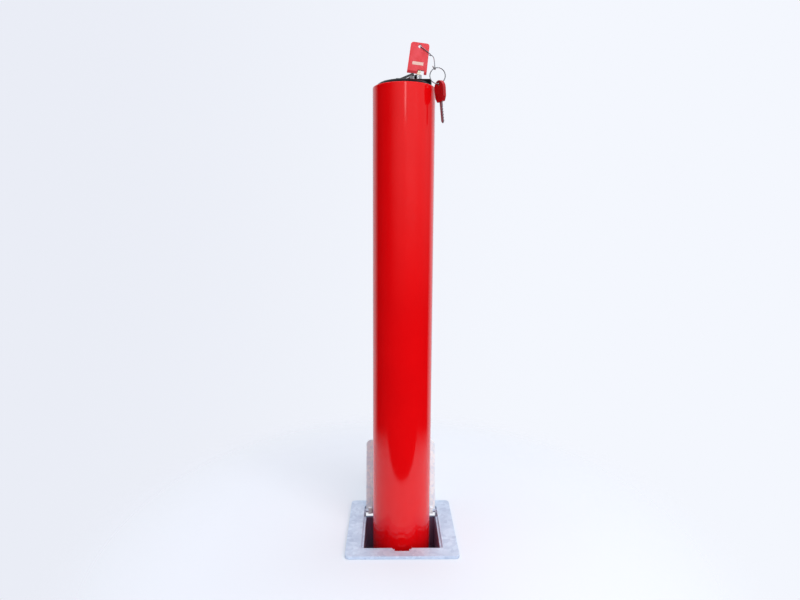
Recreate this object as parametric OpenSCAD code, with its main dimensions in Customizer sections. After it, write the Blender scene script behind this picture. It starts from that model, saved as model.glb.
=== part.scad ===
// Telescopic bollard: a red round post that slides down into a square ground box,
// with a hinged lid, a lock in the cap, a rack and pinion bolt and a bunch of two keys.
// The origin is on the post's axis at ground level, under the flat ground frame.

/* [Post] */
// Outer diameter of the post tube
post_d = 94; // [88:0.5:94]
// Wall of the post tube
post_wall = 3; // [2.5:0.25:4]
// Height of the raised post above the ground frame
post_rise = 700; // [500:10:900]
// Length of the raised post that stays below ground
post_buried = 245; // [240:5:300]

/* [Ground frame] */
// Side of the square ground frame
frame_w = 175; // [172:1:200]
// Thickness of the ground frame
frame_t = 5; // [4:0.5:6]
// Corner radius of the ground frame
frame_corner = 7; // [3:1:12]
// Step from the box's inner face out to the opening's side edge
side_step = 3.5; // [3:0.25:4.5]
// Step from the box's inner face out to the opening's front edge
front_step = 5; // [4.8:0.1:6]
// Step from the box's inner face out to the opening's back edge
back_step = 6.9; // [6.8:0.1:8]
// Depth of the finger notch in the front edge
notch_depth = 9; // [6:0.5:11]
// Width of the finger notch at its mouth
notch_mouth = 31; // [28:1:40]
// Width of the finger notch at its far end
notch_end = 23; // [16:1:26]
// Depth of the finger room cut in the box's wall behind the notch
finger_drop = 12; // [8:1:20]

/* [Ground box] */
// Clear width inside the square ground box
box_in = 120; // [119.5:0.1:120.5]
// Wall of the ground box
box_wall = 5; // [4:0.5:6]
// Drop of the box's rim behind the lid hinge
rear_drop = 12.5; // [11:0.5:20]
// Depth of the guide plate's top below ground
guide_drop = 128; // [120:1:140]
// Thickness of the guide plate
guide_t = 8; // [6:1:10]
// Gap between the guide ring and the post, all round
guide_gap = 0.5; // [0.4:0.1:1]
// Thickness of the base plate
base_t = 6; // [5:0.5:10]
// Diameter of the drain hole in the base plate
drain_d = 40; // [20:2:50]
// Thickness of the rubber buffer on the base
buffer_t = 15; // [10:1:25]

/* [Lid] */
// Gap between the lid and the opening's side edge
lid_side_gap = 2.5; // [2:0.25:4.5]
// Gap between the closed lid and the opening's front edge
lid_front_gap = 0.5; // [0.4:0.1:1.5]
// Thickness of the lid plate
lid_t = 5; // [4:0.25:5]
// Corner radius of the lid plate
lid_corner = 9; // [4:1:12]
// Distance from the hinge pins back to the opening's edge
hinge_inset = 7; // [6.9:0.1:7.2]
// Depth of the hinge pins' axis below the frame
hinge_drop = 0.6; // [0.5:0.1:0.8]
// Length of the lid behind its hinge pins
lid_tail = 4.6; // [4.2:0.1:4.8]
// Angle at which the open lid rests on the frame
lid_open = 101.6; // [95:0.1:101.6]
// Diameter of the hinge pins
pin_d = 5; // [4:0.5:6]

/* [Cap and handle] */
// Height of the cap's top above the tube's rim
cap_rise = 7; // [5:0.5:9]
// Width of the flat round top of the cap
cap_flat_d = 62; // [56:1:66]
// Depth of the cap's skirt inside the tube
cap_skirt = 24; // [18:1:30]
// Width of the raised lock block on the cap
block_w = 24; // [20:1:30]
// Height of the lock block above the tube's rim
block_rise = 11.5; // [10:0.25:12]
// Length of the lift handle from its hinge to its end
handle_len = 25; // [22:0.2:25]
// Thickness of the lift handle
handle_t = 2.6; // [2:0.2:3]
// Angle at which the handle lies part open
handle_open = 22.5; // [18:0.5:23]

/* [Lock] */
// Distance of the lock's axis from the post's axis
lock_x = 20.8; // [20.4:0.1:21.5]
// Diameter of the lock's neck above the cap
neck_d = 11.7; // [11.5:0.1:12.2]
// Height of the lock's neck above the tube's rim
neck_rise = 19; // [16:0.5:20]
// Diameter of the threaded lock body
lock_d = 22; // [20:0.5:24]
// Diameter of the turning plug in the lock
plug_d = 8.6; // [8.4:0.1:9]
// Diameter of the drive rod
rod_d = 10; // [8:0.5:12]
// Tooth size of the pinion and rack
tooth_m = 2; // [1.8:0.1:2]
// Number of teeth on the pinion
pinion_teeth = 12; // [11:1:12]
// Depth of the bolt's centre below ground
bolt_drop = 190; // [186:1:196]
// Height of the sliding bolt
bolt_h = 14; // [10:1:18]
// Thickness of the bolt's bar behind its teeth
bolt_bar = 9; // [7:0.5:10]
// Running gap round the sliding bolt
bolt_gap = 0.4; // [0.3:0.1:0.6]
// Gap between the bolt's nose and the wall of the box when drawn back
nose_gap = 2.5; // [2:0.5:4]

/* [Foot] */
// Thickness of the two foot plates
foot_t = 8; // [6:1:10]
// Thickness of the nylon wear pads
pad_t = 3; // [2:0.5:4]
// Gap between the wear pads and the wall of the box
pad_gap = 1; // [0.6:0.1:1.5]

/* [Keys] */
// Width of the main key's head at its lower end
head_w = 29.4; // [26:0.2:30]
// Height of the main key's head
head_h = 44; // [40:1:48]
// Offset of the main key's head from its blade
head_shift = 3.2; // [2:0.2:3.6]
// Thickness of the key heads
head_t = 5; // [4:0.5:5.5]
// Lean of the main key in the lock
key_lean = 7; // [4:0.5:7]
// Diameter of the split ring
ring_d = 23.6; // [22:0.2:24]
// Diameter of the ring's wire
wire_d = 1.4; // [1:0.1:1.6]
// Width of the spare key's head
spare_w = 23.5; // [22:0.5:25]
// Height of the spare key's head
spare_h = 30; // [28:1:34]

/* [Hidden] */

$fn = 64;

// Levels and radii that follow the driving sizes
post_r = post_d / 2;
bore_r = post_r - post_wall;
rim_z = frame_t + post_rise;
foot_z = -post_buried;
park_gap = 4;
travel = rim_z + neck_rise + park_gap;
stop_gap = 0.5;
box_out = box_in + 2 * box_wall;
box_corner = 6;
box_bottom = foot_z - travel - stop_gap - buffer_t;
box_rear_y = 39;
slip = 0.2;
overlap = 1;

// Frame opening, lid and hinge
open_w = box_in + 2 * side_step;
open_front = box_in / 2 + front_step;
open_back = box_in / 2 + back_step;
lid_w = open_w - 2 * lid_side_gap;
hinge_y = open_back - hinge_inset;
pin_slip = 0.05;
pin_end = box_out / 2 - 0.5;
pin_start = lid_w / 2 - 10;
lug_in = lid_w / 2 + 0.3;
lug_half = 7;
knuckle_w = 6;

// Ground box fittings
ring_lip = 3;
ring_wall = 4;
ring_in_r = post_r + guide_gap;
upper_foot_top = -guide_drop - guide_t - stop_gap;
foot_w = box_in - 2 * (pad_t + pad_gap);
keep_wall = 3;
slot_play = 1;
vent_d = 10;
vent_place = box_in / 2 - 9;
buffer_r = box_in / 2 - 6;
pad_l = 60;

// Anchor straps, cast into the concrete
strap_z = -520;
strap_w = 30;
strap_t = 5;
strap_h = 60;
strap_reach = 45;
strap_hook = 25;

// Pinion and rack
pitch_r = tooth_m * pinion_teeth / 2;
quarter_throw = pitch_r * PI / 2;
backlash = 0.35;
pinion_h = 12;
rack_tip_y = -pitch_r + tooth_m;
rack_root_y = -pitch_r - 1.25 * tooth_m;
bolt_back_y = rack_root_y - bolt_bar;
nose_x = box_in / 2 - nose_gap;
rack_pitch = PI * tooth_m;
rack_first = -4;
rack_last = 1;
bolt_tail_x = lock_x + (rack_first - 1.2) * rack_pitch;
tooth_end_x = lock_x + (rack_last + 1) * rack_pitch;
case_h = bolt_h + 12;
case_r = bore_r - slip;
case_top = -bolt_drop + case_h / 2;
keep_depth = quarter_throw - nose_gap + 3;
nose_bevel = 4;
case_floor = 4;
screw_angles = [100, 180, 235];
case_screw_r = 34;
rod_slip = 0.08;
rod_guide_t = 10;

// Cap and lock levels
cap_r = bore_r - slip;
cap_top = rim_z + cap_rise;
cap_wall = 2.5;
cap_roof = 4;
seat_t = 4;
seat_top = rim_z - cap_skirt - 1;
seat_low = seat_top - seat_t;
cap_through = cap_skirt + cap_rise + 2 * block_rise;
cap_screw_x = -26;
cap_screw_y = 18;
cap_screw_d = 4;
cap_screw_seat_r = 4.6;
screw_seat = cap_top - 3;
handle_x = -9;
handle_w = block_w - 1;
handle_rise = 0.3;
handle_bar = 4.5;
handle_lip = 3;
knuckle_r = handle_t / 2 + 0.9;
handle_pin_r = 1.2;
handle_slip = 0.08;
hinge_z = cap_top + knuckle_r + 0.2;
ear_in = handle_w / 2 + 0.3;
ear_t = 3;
ear_l = 6;
ear_rise = 2;
block_start = handle_x + handle_len + 0.8;
block_set_in = 2.4;
neck_top = rim_z + neck_rise;
nut_h = 7;
lock_low = seat_low - 16;
lock_slip = 0.06;
coupler_h = 28;
coupler_top = lock_low - 2;
coupler_mid = coupler_top - coupler_h / 2;
coupler_pin_d = 3;
coupler_pin_step = 8;
plug_low = coupler_mid + 1;
rod_top = coupler_mid - 1;
rod_low = case_top - case_h + 3;

// Main key
lean_depth = 7;
blade_in = 15;
blade_t = 2;
blade_w = 5;
blade_slip = 0.25;
tang_l = 16;
head_gap = 2;
arch_left = -0.9;
arch_w = 9.7;
arch_h = 5.4;
head_taper = 1.6;
head_slope = 3.4;
hole_r = 2.6;
hole_drop = 5;
label_w = 17;
label_h = 5;
label_up = 12;
label_deep = 0.5;

// Link, ring and spare key
loop_angle = 37;
loop_r = 4;
loop_pass = 0.6;
ring_gap = 0.8;
ring_y = -31.5;
ring_x = post_r + ring_gap;
ring_z = rim_z + 11.3;
link_angle = 119;
spare_angle = -75;
spare_turn = -62;
spare_lean = 6;
spare_hole_drop = 4.2;
spare_tang = 14;
spare_reach = 30;
wire_r = wire_d / 2;
ring_r = ring_d / 2 - wire_r;

function on_ring(a) = [ring_x + ring_r * cos(a), ring_y, ring_z + ring_r * sin(a)];

// Points of the wire link: a long loop through the key's hole and round the head's
// edge, a bowed shank and a hook round the ring, wound sideways past the shank
function bezier(p, t) = pow(1 - t, 3) * p[0] + 3 * t * pow(1 - t, 2) * p[1]
  + 3 * t * t * (1 - t) * p[2] + pow(t, 3) * p[3];
function hook(c, side, up, across, r, a, pitch) =
  c + r * (cos(a) * side + sin(a) * up) + across * pitch * (270 - a) / 330;
hole_up = lean_depth + head_gap + head_h - hole_drop;
hole_c = [lock_x - head_shift * cos(key_lean) + hole_up * sin(key_lean), 0,
  neck_top - lean_depth + hole_up * cos(key_lean) + head_shift * sin(key_lean)];
loop_dir = [cos(loop_angle), 0, -sin(loop_angle)];
function strand(l, y) = hole_c + l * loop_dir + [0, y, 0];
loop_c = strand(loop_r + loop_pass, 0);
back_strand = [strand(20.8, -0.4), strand(20.2, 1.6), strand(19.2, 3.2), strand(17, loop_r),
  strand(11, loop_r)];
loop_bend = [for (a = [90:22.5:270]) loop_c + loop_r * (cos(a) * loop_dir + sin(a) * [0, 1, 0])];
front_strand = [strand(11, -loop_r), strand(16.4, -loop_r), strand(18.6, -3.4)];
hook_turn = 330;
hook_pitch = 1.9;
low_eye_r = 2.7;
ring_out = [cos(link_angle), 0, sin(link_angle)];
ring_along = [-sin(link_angle), 0, cos(link_angle)];
lower_hook = [for (a = [0:hook_turn / 12:hook_turn])
  hook(on_ring(link_angle) + 0.8 * ring_out, [0, -1, 0], -ring_out, -ring_along, low_eye_r,
    a, hook_pitch)];
shank_start = strand(20.5, -2);
shank_end = lower_hook[0];
shank = [for (i = [0:11]) bezier([shank_start, shank_start + 6 * loop_dir + [0, -3, 0],
  shank_end + [-1, 4, 14], shank_end], i / 12)];
link_path = concat(back_strand, loop_bend, front_strand, shank, lower_hook);

function unit(v) = v / norm(v);
function along(p, i) = unit(p[min(i + 1, len(p) - 1)] - p[max(i - 1, 0)]);
function carried(p, i) = i == 0 ? unit(cross(along(p, 0), [0.3, 0.2, 1]))
  : let (n = carried(p, i - 1), t = along(p, i)) unit(n - (n * t) * t);

module rounded_rect(x, y, r) {
  translate([r, 0]) square([x - 2 * r, y]);
  translate([0, r]) square([x, y - 2 * r]);
  for (cx = [r, x - r], cy = [r, y - r]) translate([cx, cy]) circle(r);
}

module square_tube_2d() {
  difference() {
    translate([-box_out / 2, -box_out / 2]) rounded_rect(box_out, box_out, box_corner);
    translate([-box_in / 2, -box_in / 2]) square(box_in);
  }
}

// Both hinge pins at once, as cutters or as pins
module pin_row(r, from_x, to_x) {
  for (side = [-1, 1])
    translate([side * from_x, hinge_y, -hinge_drop])
      rotate([0, side * 90, 0]) cylinder(h = to_x - from_x, r = r);
}

module ground_frame() {
  color([0.74, 0.77, 0.82])
  difference() {
    translate([-frame_w / 2, -frame_w / 2, 0])
      linear_extrude(frame_t) rounded_rect(frame_w, frame_w, frame_corner);
    translate([-open_w / 2, -open_front, -1])
      linear_extrude(frame_t + 2) rounded_rect(open_w, open_front + open_back, 2);
    translate([0, -open_front, -1])
      linear_extrude(frame_t + 2)
        polygon([[-notch_mouth / 2, 1], [-notch_mouth / 2, 0],
          [-notch_end / 2, -notch_depth], [notch_end / 2, -notch_depth],
          [notch_mouth / 2, 0], [notch_mouth / 2, 1]]);
    pin_row(pin_d / 2 + pin_slip, open_w / 2 - 1, pin_end + 0.5);
  }
}

// Slot through the box wall for the bolt's nose, at a given height
module bolt_window(z, x0, x1) {
  translate([x0, bolt_back_y - slot_play, z - bolt_h / 2 - slot_play])
    cube([x1 - x0, rack_tip_y - bolt_back_y + 2 * slot_play, bolt_h + 2 * slot_play]);
}

module ground_box() {
  color([0.60, 0.63, 0.68])
  difference() {
    translate([0, 0, box_bottom]) linear_extrude(-box_bottom) square_tube_2d();
    translate([-box_out, box_rear_y, -rear_drop]) cube([2 * box_out, box_out, rear_drop + 1]);
    translate([-notch_end / 2, -box_out / 2 - 1, -finger_drop])
      cube([notch_end, box_wall + 2, finger_drop + 1]);
    bolt_window(-bolt_drop, box_in / 2 - 1, box_out / 2 + 1);
    bolt_window(-bolt_drop - travel, box_in / 2 - 1, box_out / 2 + 1);
  }
}

module base_plate() {
  color([0.60, 0.63, 0.68])
  translate([0, 0, box_bottom - base_t])
    difference() {
      translate([-box_out / 2, -box_out / 2, 0])
        linear_extrude(base_t) rounded_rect(box_out, box_out, box_corner);
      translate([0, 0, -1]) cylinder(h = base_t + 2, d = drain_d);
    }
}

module guide_plate() {
  color([0.60, 0.63, 0.68])
  translate([0, 0, -guide_drop - guide_t])
    difference() {
      translate([-box_in / 2, -box_in / 2, 0]) cube([box_in, box_in, guide_t]);
      translate([0, 0, -1]) cylinder(h = guide_t + 2, r = ring_in_r + ring_wall);
      for (x = [-1, 1], y = [-1, 1])
        translate([x * vent_place, y * vent_place, -1]) cylinder(h = guide_t + 2, d = vent_d);
    }
}

// Nylon ring that steadies the post, with a lip on top of the guide plate
module guide_ring() {
  color([0.16, 0.16, 0.17])
  translate([0, 0, -guide_drop - guide_t])
    rotate_extrude()
      polygon([[ring_in_r, 0], [ring_in_r + ring_wall, 0],
        [ring_in_r + ring_wall, guide_t], [ring_in_r + ring_wall + 4, guide_t],
        [ring_in_r + ring_wall + 4, guide_t + ring_lip], [ring_in_r + 1.5, guide_t + ring_lip],
        [ring_in_r, guide_t + ring_lip - 1.5]]);
}

module rest_buffer() {
  color([0.10, 0.10, 0.11])
  translate([0, 0, box_bottom])
    difference() {
      cylinder(h = buffer_t, r = buffer_r);
      translate([0, 0, -1]) cylinder(h = buffer_t + 2, d = drain_d + 8);
    }
}

// Cup welded over a bolt slot, so that concrete can't fill it
module keep_cup(z) {
  y0 = bolt_back_y - slot_play - keep_wall;
  y1 = rack_tip_y + slot_play + keep_wall;
  cup_h = bolt_h + 2 * (slot_play + keep_wall);
  difference() {
    translate([box_out / 2, y0, z - cup_h / 2])
      cube([keep_depth - box_wall + keep_wall, y1 - y0, cup_h]);
    bolt_window(z, box_out / 2 - 1, box_in / 2 + keep_depth);
  }
}

module upper_keep() { color([0.60, 0.63, 0.68]) keep_cup(-bolt_drop); }
module lower_keep() { color([0.60, 0.63, 0.68]) keep_cup(-bolt_drop - travel); }

// Bent steel strap cast into the concrete, on one side of the box
module anchor_strap(side) {
  color([0.60, 0.63, 0.68])
  translate([side * box_out / 2, -strap_w / 2, strap_z])
    mirror([side < 0 ? 1 : 0, 0, 0]) {
      cube([strap_t, strap_w, strap_h]);
      cube([strap_reach, strap_w, strap_t]);
      translate([strap_reach - strap_t, 0, -strap_hook])
        cube([strap_t, strap_w, strap_hook + strap_t]);
    }
}

module left_anchor() { anchor_strap(-1); }
module right_anchor() { anchor_strap(1); }

// Two blocks that stand on the box's side walls, in which the lid's pins turn
module lid_lugs() {
  color([0.60, 0.63, 0.68])
  difference() {
    for (side = [0, 1]) mirror([side, 0, 0])
      translate([lug_in, hinge_y - lug_half, -rear_drop])
        cube([box_out / 2 - lug_in, box_out / 2 - hinge_y + lug_half, rear_drop]);
    pin_row(pin_d / 2 + pin_slip, lug_in - 1, box_out / 2 + 1);
  }
}

// Puts a piece that is drawn on the closed lid where the open lid holds it
module lid_place() {
  translate([0, hinge_y, -hinge_drop]) rotate([-lid_open, 0, 0])
    translate([0, -hinge_y, hinge_drop]) children();
}

module lid_plate() {
  y0 = -open_front + lid_front_gap;
  y1 = hinge_y + lid_tail;
  color([0.80, 0.83, 0.87])
  lid_place() {
    difference() {
      translate([-lid_w / 2, y0, 0])
        linear_extrude(lid_t) rounded_rect(lid_w, y1 - y0, lid_corner);
      pin_row(pin_d / 2, pin_start, lid_w / 2 + 1);
    }
    difference() {
      for (side = [-1, 1])
        translate([side * (pin_start + knuckle_w / 2) - knuckle_w / 2, hinge_y - 6, -4])
          cube([knuckle_w, 10, 4]);
      pin_row(pin_d / 2, pin_start - 2, lid_w / 2 + 1);
    }
  }
}

// Two steel pins welded to the lid, one at each back corner
module lid_pins() {
  color([0.70, 0.72, 0.76])
  lid_place() pin_row(pin_d / 2, pin_start, pin_end);
}

module post_tube() {
  color([0.86, 0.07, 0.08])
  difference() {
    translate([0, 0, foot_z]) cylinder(h = rim_z - foot_z, r = post_r, $fn = 128);
    translate([0, 0, foot_z - 1]) cylinder(h = rim_z - foot_z + 2, r = bore_r, $fn = 128);
    bolt_window(-bolt_drop, 0, post_r + 1);
  }
}

// Square plate welded round the foot of the post
module foot_plate(z) {
  color([0.60, 0.63, 0.68])
  translate([0, 0, z])
    difference() {
      translate([-foot_w / 2, -foot_w / 2, 0])
        linear_extrude(foot_t) rounded_rect(foot_w, foot_w, 4);
      translate([0, 0, -1]) cylinder(h = foot_t + 2, r = post_r, $fn = 128);
    }
}

module upper_foot_plate() { foot_plate(upper_foot_top - foot_t); }
module lower_foot_plate() { foot_plate(foot_z); }

// Four nylon strips that slide on the walls of the box
module wear_pads(z) {
  color([0.88, 0.87, 0.82])
  for (a = [0:90:270])
    rotate([0, 0, a])
      translate([foot_w / 2, -pad_l / 2, z]) cube([pad_t, pad_l, foot_t]);
}

module upper_wear_pads() { wear_pads(upper_foot_top - foot_t); }
module lower_wear_pads() { wear_pads(foot_z); }

// Steel disc welded in the tube, which carries the lock and the cap
module cap_seat() {
  color([0.60, 0.63, 0.68])
  translate([0, 0, seat_top - seat_t])
    difference() {
      cylinder(h = seat_t, r = bore_r);
      translate([lock_x, 0, -1]) cylinder(h = seat_t + 2, d = lock_d);
      for (side = [-1, 1])
        translate([cap_screw_x, side * cap_screw_y, -1])
          cylinder(h = seat_t + 2, d = cap_screw_d + slip);
    }
}

// Section of the moulded cap: a skirt in the tube and a domed top above the rim
module cap_section() {
  flat_r = cap_flat_d / 2;
  dome_r = ((cap_r - flat_r) * (cap_r - flat_r) + cap_rise * cap_rise) / (2 * cap_rise);
  difference() {
    union() {
      translate([0, rim_z - cap_skirt]) square([cap_r, cap_skirt]);
      translate([0, rim_z - overlap]) square([flat_r, cap_rise + overlap]);
      intersection() {
        translate([flat_r, cap_top - dome_r]) circle(dome_r);
        translate([flat_r - overlap, rim_z - overlap])
          square([cap_r - flat_r + overlap, cap_rise + 2 * overlap]);
      }
    }
    translate([-1, rim_z - cap_skirt - 1])
      square([cap_r - cap_wall + 1, cap_skirt - cap_roof + 1]);
  }
}

// Centres of the two cap screws
module cap_screw_places() {
  for (side = [-1, 1]) translate([cap_screw_x, side * cap_screw_y, 0]) children();
}

module top_cap() {
  color([0.09, 0.09, 0.10])
  difference() {
    union() {
      rotate_extrude() cap_section();
      intersection() {
        translate([block_start, -block_w / 2, rim_z - cap_roof])
          cube([cap_r, block_w, block_rise + cap_roof]);
        translate([0, 0, rim_z - cap_roof - 1])
          cylinder(h = block_rise + cap_roof + 2, r = cap_r - block_set_in);
      }
      for (side = [-1, 1])
        translate([handle_x - ear_l / 2, side * (ear_in + ear_t / 2) - ear_t / 2, cap_top - overlap])
          cube([ear_l, ear_t, hinge_z + ear_rise - cap_top + overlap]);
      translate([lock_x, 0, seat_top]) cylinder(h = cap_skirt, r = lock_d / 2 + cap_wall);
      cap_screw_places() translate([0, 0, seat_top]) cylinder(h = cap_skirt, r = 5);
    }
    translate([lock_x, 0, seat_top - 1])
      cylinder(h = rim_z - 2 - seat_top + 1, r = lock_d / 2 + slip);
    translate([lock_x, 0, seat_top]) cylinder(h = cap_through, r = neck_d / 2 + slip);
    translate([handle_x, -ear_in - ear_t - 1, hinge_z]) rotate([-90, 0, 0])
      cylinder(h = 2 * (ear_in + ear_t + 1), r = handle_pin_r + 0.05);
    cap_screw_places() {
      translate([0, 0, seat_top - 1]) cylinder(h = cap_through, d = cap_screw_d + 2 * slip);
      translate([0, 0, screw_seat]) cylinder(h = 10, r = cap_screw_seat_r);
    }
  }
}

module cap_screws() {
  color([0.62, 0.63, 0.65])
  cap_screw_places()
    difference() {
      union() {
        translate([0, 0, seat_low - 4])
          cylinder(h = screw_seat - seat_low + 5, d = cap_screw_d);
        translate([0, 0, screw_seat]) cylinder(h = 2.4, r = 4.2);
      }
      translate([0, 0, screw_seat + 0.8]) cylinder(h = 3, r = 2, $fn = 6);
    }
}

module handle_pin() {
  color([0.62, 0.63, 0.65])
  translate([handle_x, -ear_in - ear_t, hinge_z]) rotate([-90, 0, 0])
    cylinder(h = 2 * (ear_in + ear_t), r = handle_pin_r);
}

// Flap with a finger window and a lip under its end, drawn lying flat and then swung up
// about its pin. Its end is hollowed so that it lies flat beside the lock's neck.
module lift_handle() {
  color([0.09, 0.09, 0.10])
  translate([handle_x, 0, hinge_z]) rotate([0, -handle_open, 0])
    difference() {
      union() {
        translate([0, handle_w / 2, 0]) rotate([90, 0, 0])
          cylinder(h = handle_w, r = knuckle_r);
        translate([0, -handle_w / 2, handle_rise - handle_t / 2])
          cube([handle_len, handle_w, handle_t]);
        translate([handle_len - handle_lip, -handle_w / 2, -knuckle_r])
          cube([handle_lip, handle_w, knuckle_r]);
      }
      translate([handle_bar + 1.5, handle_bar - handle_w / 2, -5])
        cube([handle_len - 2 * handle_bar - 3, handle_w - 2 * handle_bar, 10]);
      translate([0, handle_w, 0]) rotate([90, 0, 0])
        cylinder(h = 2 * handle_w, r = handle_pin_r + handle_slip);
      translate([lock_x - handle_x, 0, -5]) cylinder(h = 10, r = neck_d / 2 + 0.6);
    }
}

// Threaded barrel under the cap with the plain neck that stands out of it
module lock_body() {
  color([0.80, 0.80, 0.81])
  translate([lock_x, 0, 0])
    difference() {
      union() {
        translate([0, 0, lock_low]) cylinder(h = rim_z - 2.4 - lock_low, d = lock_d);
        translate([0, 0, rim_z - 3]) cylinder(h = neck_rise + 3, d = neck_d);
      }
      translate([0, 0, lock_low - 1]) cylinder(h = 200, r = plug_d / 2 + lock_slip);
    }
}

module lock_nut() {
  color([0.70, 0.71, 0.73])
  translate([lock_x, 0, seat_low - nut_h])
    difference() {
      cylinder(h = nut_h, r = lock_d / 2 + 5, $fn = 6);
      translate([0, 0, -1]) cylinder(h = nut_h + 2, d = lock_d);
    }
}

// Plug with the keyway above and a cross hole for the coupler's pin below
module lock_plug() {
  slot_w = plug_d - 1.4;
  color([0.72, 0.66, 0.50])
  translate([lock_x, 0, 0])
    difference() {
      translate([0, 0, plug_low]) cylinder(h = neck_top + 0.6 - plug_low, d = plug_d);
      translate([-slot_w / 2, -blade_t / 2 - blade_slip, neck_top - blade_in - 2])
        cube([slot_w, blade_t + 2 * blade_slip, 40]);
      coupler_pin(1);
    }
}

// Cross pin of the coupler, above its middle in the plug or below it in the rod
module coupler_pin(side) {
  translate([0, 0, coupler_mid + side * coupler_pin_step]) rotate([0, 90, 0])
    cylinder(h = rod_d + 8, d = coupler_pin_d, center = true);
}

// Sleeve over the plug's foot and the rod's top, with a cross pin through each
module rod_coupler() {
  color([0.55, 0.56, 0.58])
  translate([lock_x, 0, 0]) {
    difference() {
      translate([0, 0, coupler_mid - coupler_h / 2]) cylinder(h = coupler_h, d = rod_d + 8);
      translate([0, 0, coupler_mid - coupler_h]) cylinder(h = coupler_h, d = rod_d);
      translate([0, 0, coupler_mid - 1]) cylinder(h = coupler_h, d = plug_d);
    }
    coupler_pin(1);
    coupler_pin(-1);
  }
}

module drive_rod() {
  color([0.66, 0.67, 0.70])
  translate([lock_x, 0, 0])
    difference() {
      translate([0, 0, rod_low]) cylinder(h = rod_top - rod_low, d = rod_d);
      coupler_pin(-1);
    }
}

// Nylon disc in the tube with a bore for the drive rod
module rod_guide(z) {
  color([0.88, 0.87, 0.82])
  translate([0, 0, z])
    difference() {
      cylinder(h = rod_guide_t, r = bore_r - slip);
      translate([lock_x, 0, -1]) cylinder(h = rod_guide_t + 2, r = rod_d / 2 + rod_slip);
      for (a = [60:60:300])
        rotate([0, 0, a]) translate([bore_r / 2, 0, -1]) cylinder(h = rod_guide_t + 2, r = 8);
    }
}

module upper_rod_guide() { rod_guide(post_rise * 0.62); }
module lower_rod_guide() { rod_guide(post_rise * 0.2); }

// Point on an involute of a base circle, after unwinding by t degrees
function involute(rb, t) =
  [rb * (cos(t) + t * PI / 180 * sin(t)), rb * (sin(t) - t * PI / 180 * cos(t))];
function unwind(rb, r) = sqrt(max(0, r * r / (rb * rb) - 1)) * 180 / PI;
function turn(p, a) = [p[0] * cos(a) - p[1] * sin(a), p[0] * sin(a) + p[1] * cos(a)];

// One tooth of the pinion with 20 degree involute flanks
module pinion_tooth() {
  rb = pitch_r * cos(20);
  tip_r = pitch_r + tooth_m - 0.1;
  root_r = pitch_r - 1.25 * tooth_m;
  tp = unwind(rb, pitch_r);
  inv_a = tp - 20;
  half = 90 / pinion_teeth - backlash / 4 / pitch_r * 180 / PI;
  steps = 5;
  t1 = unwind(rb, tip_r);
  flank = [for (i = [0:steps]) turn(involute(rb, t1 * i / steps), -half - inv_a)];
  root = turn([root_r - 0.5, 0], -half - inv_a);
  polygon(concat([root], flank, [for (i = [steps:-1:0]) [flank[i][0], -flank[i][1]]],
    [[root[0], -root[1]]]));
}

module pinion() {
  color([0.60, 0.60, 0.62])
  translate([lock_x, 0, -bolt_drop - pinion_h / 2])
    difference() {
      union() {
        cylinder(h = pinion_h, r = pitch_r - 1.25 * tooth_m);
        linear_extrude(pinion_h)
          for (i = [0:pinion_teeth - 1]) rotate(-90 + i * 360 / pinion_teeth) pinion_tooth();
      }
      translate([0, 0, -1]) cylinder(h = pinion_h + 2, d = rod_d);
    }
}

// Bolt bar: a rack with straight 20 degree flanks at one end and a bevelled nose
module lock_bolt() {
  tip = rack_pitch / 4 - backlash / 4 - tooth_m * tan(20);
  root = rack_pitch / 4 - backlash / 4 + 1.25 * tooth_m * tan(20);
  teeth = [for (i = [rack_last:-1:rack_first])
    let (x = lock_x + (i + 0.5) * rack_pitch)
    each [[x + root, rack_root_y], [x + tip, rack_tip_y], [x - tip, rack_tip_y],
      [x - root, rack_root_y]]];
  color([0.72, 0.73, 0.75])
  translate([0, 0, -bolt_drop - bolt_h / 2])
    linear_extrude(bolt_h)
      polygon(concat([[bolt_tail_x, bolt_back_y], [nose_x - nose_bevel, bolt_back_y],
        [nose_x, bolt_back_y + nose_bevel], [nose_x, rack_tip_y - nose_bevel],
        [nose_x - nose_bevel, rack_tip_y], [tooth_end_x, rack_tip_y],
        [tooth_end_x, rack_root_y]], teeth, [[bolt_tail_x, rack_root_y]]));
}

// Round case welded in the tube: a slide way for the bolt and a well for the pinion
module bolt_case() {
  color([0.60, 0.63, 0.68])
  translate([0, 0, -bolt_drop])
    difference() {
      translate([0, 0, -case_h / 2]) cylinder(h = case_h - case_floor, r = case_r);
      translate([-post_r, bolt_back_y - bolt_gap, -bolt_h / 2 - bolt_gap])
        cube([post_d, rack_tip_y - bolt_back_y + 2 * bolt_gap, case_h]);
      translate([lock_x, 0, -pinion_h / 2 - 1]) cylinder(h = case_h, r = pitch_r + tooth_m + 0.6);
      translate([lock_x, 0, -case_h]) cylinder(h = case_h, r = rod_d / 2 + rod_slip);
      case_screw_places() translate([0, 0, -2]) cylinder(h = case_h, r = 2);
    }
}

// Centres of the three screws that hold the case's cover
module case_screw_places() {
  for (a = screw_angles) rotate([0, 0, a]) translate([case_screw_r, 0, 0]) children();
}

module case_cover() {
  color([0.66, 0.68, 0.72])
  translate([0, 0, case_top - case_floor])
    difference() {
      cylinder(h = case_floor, r = case_r);
      translate([lock_x, 0, -1]) cylinder(h = case_floor + 2, r = rod_d / 2 + rod_slip);
      case_screw_places() translate([0, 0, -1]) cylinder(h = case_floor + 2, r = 2);
    }
}

module case_screws() {
  color([0.62, 0.63, 0.65])
  case_screw_places() {
    translate([0, 0, case_top - 12]) cylinder(h = 12.5, r = 1.95);
    translate([0, 0, case_top]) cylinder(h = 4, r = 3.5);
  }
}

// Puts a piece of the main key where the key leans in the lock, from the neck's top
module key_place() {
  translate([lock_x, 0, neck_top - lean_depth]) rotate([0, key_lean, 0])
    translate([0, 0, lean_depth]) children();
}

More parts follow.
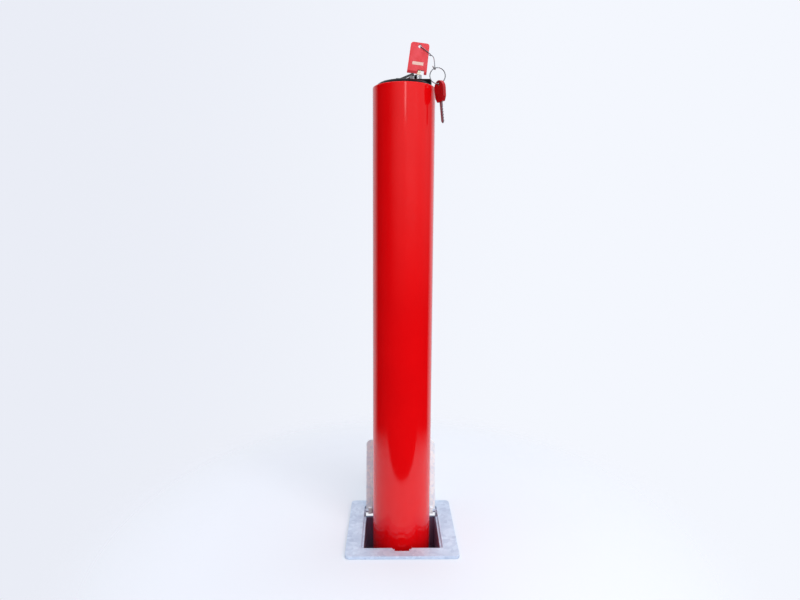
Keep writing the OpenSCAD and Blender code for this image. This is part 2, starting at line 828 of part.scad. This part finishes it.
module key_blade() {
  color([0.80, 0.76, 0.62])
  key_place()
    translate([0, blade_t / 2, 0]) rotate([90, 0, 0])
      linear_extrude(blade_t)
        difference() {
          polygon([[-blade_w / 2, -blade_in + 2], [0, -blade_in], [blade_w / 2, -blade_in + 2],
            [blade_w / 2, head_gap + tang_l], [-blade_w / 2, head_gap + tang_l]]);
          for (i = [0:3])
            translate([blade_w / 2, -blade_in + 4 + i * 2.8])
              rotate(45) square([1.3, 1.3], center = true);
        }
}

// Moulded key head: wider below, rounded above, with a hole and an arch for the blade
module key_head_2d() {
  r = 4;
  top_w = head_w - head_taper;
  difference() {
    hull() {
      translate([-head_w / 2, 0]) square([head_w, 1]);
      for (side = [-1, 1])
        translate([side * (top_w / 2 - r), head_h - r]) circle(r, $fn = 32);
    }
    translate([-arch_left, -1]) square([arch_w, arch_h + 1]);
    translate([0, head_h - hole_drop]) circle(hole_r);
  }
}

// The head's underside slopes up to both faces, and its front has a bare label panel
module key_head() {
  color([0.86, 0.16, 0.20])
  key_place()
    translate([-head_shift, 0, head_gap])
      difference() {
        translate([0, head_t / 2, 0]) rotate([90, 0, 0]) linear_extrude(head_t) key_head_2d();
        translate([head_shift - blade_w / 2, -blade_t / 2, -1])
          cube([blade_w, blade_t, tang_l + 1]);
        translate([-label_w / 2, -head_t / 2 - 1, label_up])
          cube([label_w, 1 + label_deep, label_h]);
        for (side = [-1, 1]) translate([-head_w, 0, 0]) rotate([90, 0, 90])
          linear_extrude(2 * head_w)
            polygon([[side * head_t / 2, head_slope], [side * 0.6, 0], [side * 0.6, -1],
              [side * (head_t / 2 + 1), -1], [side * (head_t / 2 + 1), head_slope]]);
      }
}

// Round wire along a list of points
module swept_wire(p, r, sides) {
  n = len(p);
  points = [for (i = [0:n - 1]) let (u = carried(p, i), v = cross(along(p, i), u))
    for (k = [0:sides - 1]) p[i] + r * (cos(k * 360 / sides) * u + sin(k * 360 / sides) * v)];
  faces = concat([[for (k = [sides - 1:-1:0]) k]],
    [for (i = [0:n - 2]) for (k = [0:sides - 1]) let (k2 = (k + 1) % sides)
      [i * sides + k, i * sides + k2, (i + 1) * sides + k2, (i + 1) * sides + k]],
    [[for (k = [0:sides - 1]) (n - 1) * sides + k]]);
  polyhedron([for (q = points) q], [for (f = faces) [for (j = [len(f) - 1:-1:0]) f[j]]]);
}

module key_link() {
  color([0.72, 0.73, 0.75]) swept_wire(link_path, wire_r, 8);
}

module split_ring() {
  color([0.72, 0.73, 0.75])
  translate([ring_x, ring_y, ring_z]) rotate([90, 0, 0])
    rotate_extrude() translate([ring_r, 0]) circle(wire_r, $fn = 24);
}

// Puts a piece of the spare key where it hangs from the ring, from its hole's centre
module spare_place() {
  translate(on_ring(spare_angle)) rotate([0, -spare_lean, 0]) rotate([0, 0, spare_turn])
    children();
}

module spare_head_2d() {
  r = spare_w / 2;
  difference() {
    hull() {
      translate([0, spare_hole_drop - r]) circle(r, $fn = 64);
      translate([-r + 1, spare_hole_drop - spare_h + 6]) square([spare_w - 2, 1]);
      translate([-r + 5, spare_hole_drop - spare_h]) square([spare_w - 10, 1]);
    }
    circle(3.2);
  }
}

module spare_head() {
  color([0.72, 0.05, 0.08])
  spare_place() translate([0, head_t / 2, 0]) rotate([90, 0, 0])
    difference() {
      linear_extrude(head_t) spare_head_2d();
      translate([-blade_w / 2, spare_hole_drop - spare_h - 1, head_t / 2 - blade_t / 2])
        cube([blade_w, spare_tang + 1, blade_t]);
    }
}

module spare_blade() {
  low = spare_hole_drop - spare_h - spare_reach;
  color([0.45, 0.42, 0.45])
  spare_place() translate([0, blade_t / 2, 0]) rotate([90, 0, 0])
    linear_extrude(blade_t)
      difference() {
        polygon([[-blade_w / 2, low + 3], [0, low], [blade_w / 2, low + 3],
          [blade_w / 2, low + spare_reach + spare_tang],
          [-blade_w / 2, low + spare_reach + spare_tang]]);
        for (i = [0:4])
          translate([blade_w / 2, low + 6 + i * 4]) rotate(45) square([2, 2], center = true);
      }
}

ground_frame();
ground_box();
base_plate();
guide_plate();
guide_ring();
rest_buffer();
upper_keep();
lower_keep();
left_anchor();
right_anchor();
lid_lugs();
lid_plate();
lid_pins();
post_tube();
upper_foot_plate();
lower_foot_plate();
upper_wear_pads();
lower_wear_pads();
cap_seat();
top_cap();
cap_screws();
handle_pin();
lift_handle();
lock_body();
lock_nut();
lock_plug();
rod_coupler();
drive_rod();
upper_rod_guide();
lower_rod_guide();
pinion();
bolt_case();
case_cover();
case_screws();
lock_bolt();
key_blade();
key_head();
key_link();
split_ring();
spare_blade();
spare_head();
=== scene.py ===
import math

import bmesh
import bpy
from mathutils import Matrix, Vector


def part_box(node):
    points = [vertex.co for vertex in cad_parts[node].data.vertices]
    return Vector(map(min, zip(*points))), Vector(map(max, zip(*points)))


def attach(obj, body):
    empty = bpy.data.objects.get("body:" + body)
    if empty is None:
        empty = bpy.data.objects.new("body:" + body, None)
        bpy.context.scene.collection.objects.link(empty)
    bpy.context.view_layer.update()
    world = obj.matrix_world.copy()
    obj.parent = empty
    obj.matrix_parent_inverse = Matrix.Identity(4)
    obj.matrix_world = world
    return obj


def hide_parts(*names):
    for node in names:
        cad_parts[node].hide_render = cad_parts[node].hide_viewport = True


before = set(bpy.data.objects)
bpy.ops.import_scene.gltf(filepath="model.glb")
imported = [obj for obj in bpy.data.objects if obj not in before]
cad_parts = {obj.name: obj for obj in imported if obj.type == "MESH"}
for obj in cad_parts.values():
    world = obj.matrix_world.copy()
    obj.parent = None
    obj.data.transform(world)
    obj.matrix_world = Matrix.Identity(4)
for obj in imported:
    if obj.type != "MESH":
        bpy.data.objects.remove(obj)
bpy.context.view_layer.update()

scene = bpy.context.scene
scene.view_settings.view_transform = "Standard"
MM = 0.001

# Camera
# It stands 0.9 m in front of the post and half a metre above the ground frame, and
# looks a little down and to the right, so that the floor round the frame shows.
frame_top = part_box("ground_frame")[1].z
camera_place = Vector((-19.4 * MM, -886.8 * MM, 501.9 * MM + frame_top))
camera_right = math.radians(0.986)
camera_down = math.radians(7.828)
camera_roll = math.radians(0.322)
picture_width = 800
focal_pixels = 567.97
camera_data = bpy.data.cameras.new("photo_camera")
camera_data.sensor_width = 36.0
camera_data.lens = camera_data.sensor_width * focal_pixels / picture_width
camera = bpy.data.objects.new("photo_camera", camera_data)
camera.matrix_world = (
    Matrix.Translation(camera_place)
    @ Matrix.Rotation(-camera_right, 4, "Z")
    @ Matrix.Rotation(math.pi / 2 - camera_down, 4, "X")
    @ Matrix.Rotation(camera_roll, 4, "Z")
)
scene.collection.objects.link(camera)
scene.camera = camera


# Floor and studio
# A white table top with a square cut-out for the ground box. Its front edge lies a
# hand's width in front of the picture, and its sides and back fade into the backdrop.
def linear(hex_colour):
    """An sRGB hex colour such as "e20c10" as linear red, green, blue and alpha."""
    values = [int(hex_colour[i:i + 2], 16) / 255 for i in (0, 2, 4)]
    return (
        *[v / 12.92 if v <= 0.04045 else ((v + 0.055) / 1.055) ** 2.4 for v in values],
        1.0,
    )


def add(owner, kind, inputs=(), **settings):
    """Adds a shader node to a material or world. inputs are (socket, value) or (socket,
    node, output socket), and settings are properties or sockets, with _ for a space."""
    tree = owner.node_tree
    made = tree.nodes.new(kind)
    for name, value in settings.items():
        if hasattr(made, name):
            setattr(made, name, value)
        else:
            made.inputs[name.replace("_", " ")].default_value = value
    for socket, source, *output in inputs:
        if output:
            tree.links.new(source.outputs[output[0]], made.inputs[socket])
        else:
            made.inputs[socket].default_value = source
    return made


def new_material(name):
    """A material without nodes."""
    material = bpy.data.materials.new(name)
    material.use_nodes = True
    material.node_tree.nodes.clear()
    return material


table_front = 265 * MM
table_side = 560 * MM
table_back = 620 * MM
hole_half = 65.5 * MM

bm = bmesh.new()
bmesh.ops.create_grid(bm, x_segments=8, y_segments=8, size=1.0)
bmesh.ops.scale(bm, verts=bm.verts, vec=(table_side, (table_front + table_back) / 2, 1.0))
bmesh.ops.translate(bm, verts=bm.verts, vec=(0, (table_back - table_front) / 2, 0))
for across in (Vector((1, 0, 0)), Vector((0, 1, 0))):
    for place in (-hole_half, hole_half):
        bmesh.ops.bisect_plane(
            bm, geom=bm.verts[:] + bm.edges[:] + bm.faces[:], dist=1e-7,
            plane_co=across * place, plane_no=across,
        )
hole = [
    f for f in bm.faces
    if max(abs(f.calc_center_median().x), abs(f.calc_center_median().y)) < hole_half
]
bmesh.ops.delete(bm, geom=hole, context="FACES")
table_mesh = bpy.data.meshes.new("table_top")
bm.to_mesh(table_mesh)
bm.free()
table = bpy.data.objects.new("table_top", table_mesh)
scene.collection.objects.link(table)

# Matt white laminate. It turns see-through over an oval ring towards its sides and back,
# and from below it doesn't hide the ground box. The ring's bounds are squares of shares
# of the way from the post to the edge.
fade_start = 0.285
fade_end = 0.94
laminate = new_material("matt_white_laminate")
coordinates = add(laminate, "ShaderNodeTexCoord")
split = add(laminate, "ShaderNodeSeparateXYZ", [("Vector", coordinates, "Object")])
squares = []
for axis, size in (("X", table_side), ("Y", table_back)):
    part = add(laminate, "ShaderNodeMath", [(0, split, axis), (1, size)], operation="DIVIDE")
    squares.append(add(laminate, "ShaderNodeMath", [(0, part, 0), (1, 2.0)], operation="POWER"))
reach = add(
    laminate, "ShaderNodeMath", [(0, squares[0], 0), (1, squares[1], 0)], operation="ADD"
)
fade = add(
    laminate, "ShaderNodeMapRange", [("Value", reach, 0)], interpolation_type="SMOOTHSTEP",
    From_Min=fade_start, From_Max=fade_end,
)
sight = add(laminate, "ShaderNodeLightPath")
sheet_side = add(laminate, "ShaderNodeNewGeometry")
from_below = add(
    laminate, "ShaderNodeMath", [(0, sight, "Is Camera Ray"), (1, sheet_side, "Backfacing")],
    operation="MULTIPLY",
)
see_through = add(
    laminate, "ShaderNodeMath", [(0, fade, "Result"), (1, from_below, 0)],
    operation="MAXIMUM",
)
white = add(laminate, "ShaderNodeBsdfDiffuse", Color=linear("dde1e9"))
clear = add(laminate, "ShaderNodeBsdfTransparent")
surface = add(
    laminate, "ShaderNodeMixShader", [(0, see_through, 0), (1, white, 0), (2, clear, 0)]
)
add(laminate, "ShaderNodeOutputMaterial", [("Surface", surface, 0)])
table_mesh.materials.append(laminate)

# The room. Gloss surfaces mirror it: pale behind the post and overhead, and dark in
# front but for a soft window on the right.
world = bpy.data.worlds.new("studio")
world.use_nodes = True
world.node_tree.nodes.clear()
scene.world = world
window_way = (0.636, -0.772, 0.0)
way = add(world, "ShaderNodeTexCoord")
compass = add(world, "ShaderNodeSeparateXYZ", [("Vector", way, "Generated")])
facing = add(
    world, "ShaderNodeVectorMath", [(0, way, "Generated"), (1, window_way)],
    operation="DOT_PRODUCT",
)

# Each share grows smoothly from 0 to its full value between two bounds of a direction.
share = {}
for name, source, output, start, end, full in (
    ("behind", compass, "Y", 0.3, 0.72, 1.0),
    ("overhead", compass, "Z", 0.55, 0.85, 1.0),
    ("window_width", facing, "Value", -0.1, 0.7, 0.7),
    ("window_height", compass, "Z", -0.22, 0.25, 1.0),
    ("right", compass, "X", -0.55, 0.3, 1.0),
):
    share[name] = add(
        world, "ShaderNodeMapRange", [("Value", source, output)],
        interpolation_type="SMOOTHSTEP", From_Min=start, From_Max=end, To_Max=full,
    )
pale = add(
    world, "ShaderNodeMath",
    [(0, share["behind"], "Result"), (1, share["overhead"], "Result")], operation="MAXIMUM",
)
window = add(
    world, "ShaderNodeMath",
    [(0, share["window_width"], "Result"), (1, share["window_height"], "Result")],
    operation="MULTIPLY",
)
front = add(
    world, "ShaderNodeMix", [("Factor", window, 0)], data_type="RGBA",
    A=linear("0c0c10"), B=linear("f2f3f6"),
)
mirrored = add(
    world, "ShaderNodeMix", [("Factor", pale, 0), ("A", front, "Result")],
    data_type="RGBA", B=linear("f0f3fb"),
)
room_mirrored = add(
    world, "ShaderNodeBackground", [("Color", mirrored, "Result")], Strength=0.95
)

# The camera sees a pale backdrop, a little brighter on its right, and everything else
# gets a weak even light from the room.
backdrop = add(
    world, "ShaderNodeMix", [("Factor", share["right"], "Result")], data_type="RGBA",
    A=linear("eaedf6"), B=linear("f4f7fe"),
)
room_seen = add(world, "ShaderNodeBackground", [("Color", backdrop, "Result")], Strength=1.0)
room_light = add(world, "ShaderNodeBackground", Color=linear("eef1f8"), Strength=0.45)
ray = add(world, "ShaderNodeLightPath")
gloss = add(
    world, "ShaderNodeMath", [(0, ray, "Is Glossy Ray"), (1, ray, "Is Transmission Ray")],
    operation="MAXIMUM",
)
lit = add(
    world, "ShaderNodeMixShader", [(0, gloss, 0), (1, room_light, 0), (2, room_mirrored, 0)]
)
shown = add(
    world, "ShaderNodeMixShader", [(0, ray, "Is Camera Ray"), (1, lit, 0), (2, room_seen, 0)]
)
add(world, "ShaderNodeOutputWorld", [("Surface", shown, 0)])


def softbox(name, place, aim, width, height, watts, mirrored):
    """A soft area lamp at a place, turned towards a point, in metres. Gloss surfaces
    mirror it only where asked, because the room already holds its reflection."""
    data = bpy.data.lights.new(name, "AREA")
    data.shape = "RECTANGLE"
    data.size = width
    data.size_y = height
    data.energy = watts
    lamp = bpy.data.objects.new(name, data)
    lamp.location = place
    lamp.rotation_euler = (Vector(aim) - Vector(place)).to_track_quat("-Z", "Y").to_euler()
    lamp.visible_glossy = mirrored
    scene.collection.objects.link(lamp)


softbox(
    "key_panel", place=(1.05, -1.9, 1.3), aim=(0, 0, 0.45), width=1.8, height=1.8,
    watts=39, mirrored=False,
)
softbox(
    "fill_panel", place=(-1.4, -1.5, 1.2), aim=(0, 0, 0.3), width=1.2, height=1.2,
    watts=4, mirrored=False,
)
softbox(
    "ceiling_panel", place=(0.1, 0.3, 2.3), aim=(0, 0, 0), width=1.9, height=1.9,
    watts=38, mirrored=False,
)
softbox(
    "strip_lamp", place=(0.17, -2.3, 1.48), aim=(0, 0, 0.6), width=0.24, height=0.8,
    watts=2, mirrored=True,
)


# Galvanised steel: frame, box and fittings
# Laser-cut and folded mild steel, dipped in molten zinc after welding. The zinc sets
# in pale blue-grey spangles a few millimetres wide, with a soft satin sheen.
def coordinates_of(material, scale=(1, 1, 1)):
    """Object coordinates in metres, stretched by a scale."""
    source = add(material, "ShaderNodeTexCoord")
    return add(
        material, "ShaderNodeMapping", [("Vector", source, "Object"), ("Scale", scale)]
    )


def fill_ramp(ramp, *stops):
    """Sets a colour ramp's two stops, each a place from 0 to 1 and a hex colour."""
    for element, (place, hex_colour) in zip(ramp.color_ramp.elements, stops):
        element.position = place
        element.color = linear(hex_colour)


def zinc_coat(name, dark, pale, spangle, contrast, rough, metallic):
    """Hot-dip galvanising with spangles of a width in metres. A weathered coat is less
    metallic, because a film of zinc oxide covers it. The fine grain in the spangles is
    drawn a millimetre wide so that it shows."""
    cloud = 28 * MM
    grain = 1.2 * MM
    grain_depth = 0.08 * MM
    bend = 0.004
    material = new_material(name)
    place = coordinates_of(material)
    warp = add(
        material, "ShaderNodeTexNoise", [("Vector", place, 0)], Scale=0.6 / spangle,
        Detail=2.0,
    )
    bent = add(
        material, "ShaderNodeMix", [("A", place, 0), ("B", warp, "Color")],
        data_type="VECTOR", Factor=bend,
    )
    cells = add(
        material, "ShaderNodeTexVoronoi", [("Vector", bent, "Result")], Scale=1.0 / spangle
    )
    tone = add(material, "ShaderNodeSeparateColor", [("Color", cells, "Color")])
    clouds = add(
        material, "ShaderNodeTexNoise", [("Vector", place, 0)], Scale=1.0 / cloud, Detail=4.0
    )
    blend = add(
        material, "ShaderNodeMix", [("A", clouds, "Fac"), ("B", tone, "Red")],
        data_type="FLOAT", Factor=contrast,
    )
    colour = add(material, "ShaderNodeValToRGB", [("Fac", blend, "Result")])
    fill_ramp(colour, (0.25, dark), (0.75, pale))
    sheen = add(
        material, "ShaderNodeMapRange", [("Value", tone, "Green")],
        To_Min=rough[0], To_Max=rough[1],
    )
    grains = add(
        material, "ShaderNodeTexNoise", [("Vector", place, 0)], Scale=1.0 / grain, Detail=3.0
    )
    relief = add(
        material, "ShaderNodeMath", [(0, grains, "Fac"), (1, tone, "Blue")], operation="ADD"
    )
    bump = add(
        material, "ShaderNodeBump", [("Height", relief, 0)], Strength=0.35,
        Distance=grain_depth,
    )
    metal = add(
        material, "ShaderNodeBsdfPrincipled",
        [("Base Color", colour, "Color"), ("Roughness", sheen, "Result"),
         ("Normal", bump, "Normal")],
        Metallic=metallic,
    )
    add(material, "ShaderNodeOutputMaterial", [("Surface", metal, 0)])
    return material


def coat(material, *nodes):
    """Gives CAD nodes one material."""
    for node in nodes:
        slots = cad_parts[node].data.materials
        slots.clear()
        slots.append(material)


def finished_copy(node, name, body, material, edge=0.0, segments=2, sharpest=25):
    """A copy of a node's mesh, merged, with its edges of more than sharpest degrees
    rounded to a radius in metres. It rides on the body and stands for the node."""
    same_place = 0.001 * MM
    flat = math.radians(0.3)
    crease = math.radians(32)
    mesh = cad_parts[node].data.copy()
    bm = bmesh.new()
    bm.from_mesh(mesh)
    bmesh.ops.remove_doubles(bm, verts=bm.verts, dist=same_place)
    bmesh.ops.dissolve_limit(bm, angle_limit=flat, verts=bm.verts, edges=bm.edges)
    if edge:
        sharp = [
            e for e in bm.edges
            if len(e.link_faces) == 2 and e.calc_face_angle() > math.radians(sharpest)
        ]
        bmesh.ops.bevel(
            bm, geom=sharp, offset=edge, segments=segments, profile=0.5, affect="EDGES",
            clamp_overlap=True, material=-1,
        )
        bmesh.ops.remove_doubles(bm, verts=bm.verts, dist=2 * same_place)
    for face in bm.faces:
        face.smooth = True
    bm.to_mesh(mesh)
    bm.free()
    mesh.set_sharp_from_angle(angle=crease)
    mesh.materials.clear()
    mesh.materials.append(material)
    piece = bpy.data.objects.new(name, mesh)
    scene.collection.objects.link(piece)
    flat_faces = piece.modifiers.new("flat_faces", "WEIGHTED_NORMAL")
    flat_faces.keep_sharp = True
    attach(piece, body)
    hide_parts(node)


galvanised = zinc_coat(
    "hot_dip_galvanised_steel", "b7c5dc", "d4e1f3", spangle=7 * MM, contrast=0.3,
    rough=(0.38, 0.54), metallic=0.4,
)
finished_copy(
    "ground_frame", "frame_plate", "housing", galvanised,
    edge=0.7 * MM, segments=3,
)
coat(galvanised, "upper_keep", "lower_keep", "left_anchor", "right_anchor", "lid_lugs")

# Inside the box, up to its rim, the same zinc is painted darker and purple-grey: painted shade
# for the deep shadow in the box.
shade_half = 60.3 * MM
shade_top = -0.5 * MM
painted_shade_zinc = galvanised.copy()
painted_shade_zinc.name = "zinc_with_painted_box_shade"
metal = next(n for n in painted_shade_zinc.node_tree.nodes if n.type == "BSDF_PRINCIPLED")
zinc_colour = metal.inputs["Base Color"].links[0].from_node
coordinates = add(painted_shade_zinc, "ShaderNodeTexCoord")
split = add(painted_shade_zinc, "ShaderNodeSeparateXYZ", [("Vector", coordinates, "Object")])
# Painted shade mask: 1 inside the box's walls and below its rim.
painted_shade_mask = add(
    painted_shade_zinc, "ShaderNodeMath", [(0, split, "Z"), (1, shade_top)], operation="LESS_THAN"
)
for axis in ("X", "Y"):
    reach = add(painted_shade_zinc, "ShaderNodeMath", [(0, split, axis)], operation="ABSOLUTE")
    inside = add(
        painted_shade_zinc, "ShaderNodeMath", [(0, reach, 0), (1, shade_half)], operation="LESS_THAN"
    )
    painted_shade_mask = add(
        painted_shade_zinc, "ShaderNodeMath", [(0, painted_shade_mask, 0), (1, inside, 0)], operation="MULTIPLY"
    )
# Inside the box, the painted shade colour takes the place of the zinc's own colour.
colour = add(
    painted_shade_zinc, "ShaderNodeMix", [("Factor", painted_shade_mask, 0), ("A", zinc_colour, "Color")],
    data_type="RGBA", B=linear("a59cbe"),
)
painted_shade_zinc.node_tree.links.new(colour.outputs["Result"], metal.inputs["Base Color"])
coat(painted_shade_zinc, "ground_box", "base_plate", "guide_plate")


# Lid
# Galvanised steel plate with rounded corners, welded to two short hinge pins. Its zinc is drawn
# whiter than the frame's, as painted light for the light that falls on its face, and its
# spangles are finer and more mottled.
# The near-white colours are partly painted light.
lid_zinc_painted_bright = zinc_coat(
    "galvanised_lid_plate_painted_light", "deeef9", "f4fcff", spangle=3.6 * MM, contrast=0.6,
    rough=(0.4, 0.55), metallic=0.0,
)
finished_copy("lid_plate", "lid", "lid", lid_zinc_painted_bright, edge=0.8 * MM, segments=3)
coat(galvanised, "lid_pins")


# Post
# Seam-welded steel tube, blasted and powder coated in gloss signal red. The powder is
# hard and glassy over a fine orange peel, and its red is a shade deeper in places.
orange_peel = 2.5 * MM
peel_depth = 0.02 * MM
paint_cloud = 90 * MM
red_paint = new_material("gloss_red_powder_coat")
place = coordinates_of(red_paint)
clouds = add(
    red_paint, "ShaderNodeTexNoise", [("Vector", place, 0)], Scale=1.0 / paint_cloud,
    Detail=3.0,
)
colour = add(red_paint, "ShaderNodeValToRGB", [("Fac", clouds, "Fac")])
fill_ramp(colour, (0.3, "de0409"), (0.7, "e5060b"))
ripple = add(
    red_paint, "ShaderNodeTexNoise", [("Vector", place, 0)], Scale=1.0 / orange_peel,
    Detail=1.5,
)
bump = add(
    red_paint, "ShaderNodeBump", [("Height", ripple, "Fac")], Strength=0.25,
    Distance=peel_depth,
)
paint = add(
    red_paint, "ShaderNodeBsdfPrincipled",
    [("Base Color", colour, "Color"), ("Normal", bump, "Normal")], Roughness=0.1, IOR=1.5,
)
add(red_paint, "ShaderNodeOutputMaterial", [("Surface", paint, 0)])
finished_copy(
    "post_tube", "painted_tube", "post", red_paint,
    edge=1.2 * MM, segments=3, sharpest=40,
)
coat(
    galvanised, "upper_foot_plate", "lower_foot_plate", "cap_seat", "bolt_case", "case_cover"
)


# Cap and lift handle
# Injection-moulded black nylon with a fine spark-eroded texture, glossy where it
# wears. The cap is screwed down on its seat, and the handle turns on a steel pin.
def moulded(name, base, worn, roughness, grit, depth, specular=0.5):
    """Moulded plastic or rubber with a grain of a width in metres. A real mould's grain
    is about a tenth of a millimetre wide, and is drawn coarser here so that it shows."""
    cloud = 12 * MM
    material = new_material(name)
    place = coordinates_of(material)
    clouds = add(
        material, "ShaderNodeTexNoise", [("Vector", place, 0)], Scale=1.0 / cloud, Detail=4.0
    )
    colour = add(material, "ShaderNodeValToRGB", [("Fac", clouds, "Fac")])
    fill_ramp(colour, (0.35, base), (0.75, worn))
    sheen = add(
        material, "ShaderNodeMapRange", [("Value", clouds, "Fac")],
        To_Min=roughness * 0.8, To_Max=roughness * 1.25,
    )
    grains = add(
        material, "ShaderNodeTexNoise", [("Vector", place, 0)], Scale=1.0 / grit, Detail=2.0
    )
    bump = add(
        material, "ShaderNodeBump", [("Height", grains, "Fac")], Strength=0.3, Distance=depth
    )
    plastic = add(
        material, "ShaderNodeBsdfPrincipled",
        [("Base Color", colour, "Color"), ("Roughness", sheen, "Result"),
         ("Normal", bump, "Normal")],
        IOR=1.5, Specular_IOR_Level=specular,
    )
    add(material, "ShaderNodeOutputMaterial", [("Surface", plastic, 0)])
    return material


# The cap is dull black. The handle is polished by hands and so a little glossier.
black_nylon = moulded(
    "black_moulded_nylon", "08090b", "15161a", roughness=0.3, grit=0.5 * MM,
    depth=0.03 * MM, specular=0.04,
)
handled_nylon = moulded(
    "handled_black_nylon", "0c0c0f", "1b1b1f", roughness=0.2, grit=0.5 * MM,
    depth=0.02 * MM,
)
finished_copy("top_cap", "cap", "post", black_nylon, edge=0.4 * MM)
finished_copy(
    "lift_handle", "folding_handle", "handle", handled_nylon,
    edge=0.8 * MM, segments=3,
)
coat(black_nylon, "guide_ring")

# The wear pads and the rod's guides are waxy off-white nylon, and the buffer on which
# the lowered post rests is dull black rubber.
pale_nylon = moulded(
    "natural_nylon", "dcd9cb", "e6e3d8", roughness=0.4, grit=0.6 * MM, depth=0.03 * MM
)
coat(pale_nylon, "upper_wear_pads", "lower_wear_pads", "upper_rod_guide", "lower_rod_guide")
black_rubber = moulded(
    "black_rubber", "0b0b0b", "191919", roughness=0.7, grit=0.8 * MM, depth=0.05 * MM
)
coat(black_rubber, "rest_buffer")


# Lock and drive
# Chromed zinc body held by a nut, a brass plug that turns in it, and under it a zinc
# plated rod that turns the pinion and so slides the bolt.
def turned_metal(name, dark, pale, rough, streak, metallic=1.0):
    """Bare or plated metal, with turning marks round the upright axis. A real mark is a
    tenth of a millimetre wide, and is drawn coarser here so that it shows."""
    mark_depth = 0.02 * MM
    material = new_material(name)
    place = coordinates_of(material, (1, 1, 8))
    marks = add(
        material, "ShaderNodeTexNoise", [("Vector", place, 0)], Scale=1.0 / streak,
        Detail=3.0,
    )
    colour = add(material, "ShaderNodeValToRGB", [("Fac", marks, "Fac")])
    fill_ramp(colour, (0.3, dark), (0.7, pale))
    sheen = add(
        material, "ShaderNodeMapRange", [("Value", marks, "Fac")],
        To_Min=rough[0], To_Max=rough[1],
    )
    bump = add(
        material, "ShaderNodeBump", [("Height", marks, "Fac")], Strength=0.15,
        Distance=mark_depth,
    )
    metal = add(
        material, "ShaderNodeBsdfPrincipled",
        [("Base Color", colour, "Color"), ("Roughness", sheen, "Result"),
         ("Normal", bump, "Normal")],
        Metallic=metallic,
    )
    add(material, "ShaderNodeOutputMaterial", [("Surface", metal, 0)])
    return material


# Chrome mirrors almost sharply, the brass is warmer and satin, and the zinc plate of
# the drive and the screws is a soft bright grey.
chrome = turned_metal(
    "chrome_plate", "c9cbd0", "e2e4e8", rough=(0.08, 0.18), streak=2 * MM
)
brass = turned_metal("turned_brass", "a8905a", "cbb47c", rough=(0.22, 0.36), streak=2 * MM)
zinc_plate = turned_metal(
    "bright_zinc_plate", "a7abb2", "cfd3d9", rough=(0.25, 0.4), streak=4 * MM
)
finished_copy("lock_body", "lock_barrel", "post", chrome, edge=0.5 * MM)
finished_copy("lock_plug", "keyway_plug", "rotor", brass, edge=0.2 * MM)
coat(
    zinc_plate, "lock_nut", "rod_coupler", "drive_rod", "pinion", "lock_bolt",
    "handle_pin", "cap_screws", "case_screws",
)


# Keys, link and ring
# Nickel silver blades with moulded red heads. The main key's head has a bare panel.
# A bent steel wire ties it to a split ring, on which the spare key hangs.
satin_red = moulded(
    "satin_red_plastic", "dd363e", "e8505a", roughness=0.42, grit=0.5 * MM,
    depth=0.04 * MM,
)
finished_copy(
    "key_head", "key_grip", "key", satin_red, edge=0.7 * MM, segments=3
)

# A pale satin plate, left blank, lies in the recess of the head's front face.
label_size = (16.6 * MM, 0.4 * MM, 4.6 * MM)
label_edge = 0.12 * MM
label_place = (-3.2 * MM, -2.2 * MM, 23.5 * MM)
head_foot = (20.8 * MM, 0, 717 * MM)
head_lean = math.radians(7)
label_mesh = bpy.data.meshes.new("blank_label")
bm = bmesh.new()
bmesh.ops.create_cube(bm, size=1.0)
bmesh.ops.scale(bm, verts=bm.verts, vec=label_size)
bmesh.ops.translate(bm, verts=bm.verts, vec=label_place)
bmesh.ops.bevel(
    bm, geom=bm.edges[:], offset=label_edge, segments=2, profile=0.5, affect="EDGES",
    material=-1,
)
bmesh.ops.transform(
    bm, matrix=Matrix.Translation(head_foot) @ Matrix.Rotation(head_lean, 4, "Y"),
    verts=bm.verts,
)
bm.to_mesh(label_mesh)
bm.free()
pale_plastic = moulded(
    "pale_label_plastic", "e8bcb0", "f0cabf", roughness=0.4, grit=0.4 * MM,
    depth=0.02 * MM,
)
label_mesh.materials.append(pale_plastic)
label = bpy.data.objects.new("blank_label", label_mesh)
scene.collection.objects.link(label)
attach(label, "key")

nickel = turned_metal(
    "nickel_silver", "b8ae94", "ddd5c0", rough=(0.2, 0.34), streak=3 * MM
)
coat(nickel, "key_blade")

# The spare key has a darker, glossier head and a blade dulled by handling.
gloss_red = moulded(
    "gloss_red_plastic", "a6060f", "b6101a", roughness=0.22, grit=0.5 * MM,
    depth=0.02 * MM, specular=0.75,
)
finished_copy(
    "spare_head", "spare_grip", "spare_key", gloss_red,
    edge=0.9 * MM, segments=3,
)
dark_nickel = turned_metal(
    "handled_nickel_silver", "83727c", "9c8f97", rough=(0.4, 0.5), streak=3 * MM,
    metallic=0.5,
)
coat(dark_nickel, "spare_blade")

# The link and the ring are drawn steel wire, bright and smooth.
steel_wire = turned_metal(
    "bright_steel_wire", "8f9298", "c4c7cc", rough=(0.18, 0.3), streak=3 * MM
)
finished_copy("key_link", "wire_link", "link", steel_wire)
finished_copy("split_ring", "ring", "ring", steel_wire)
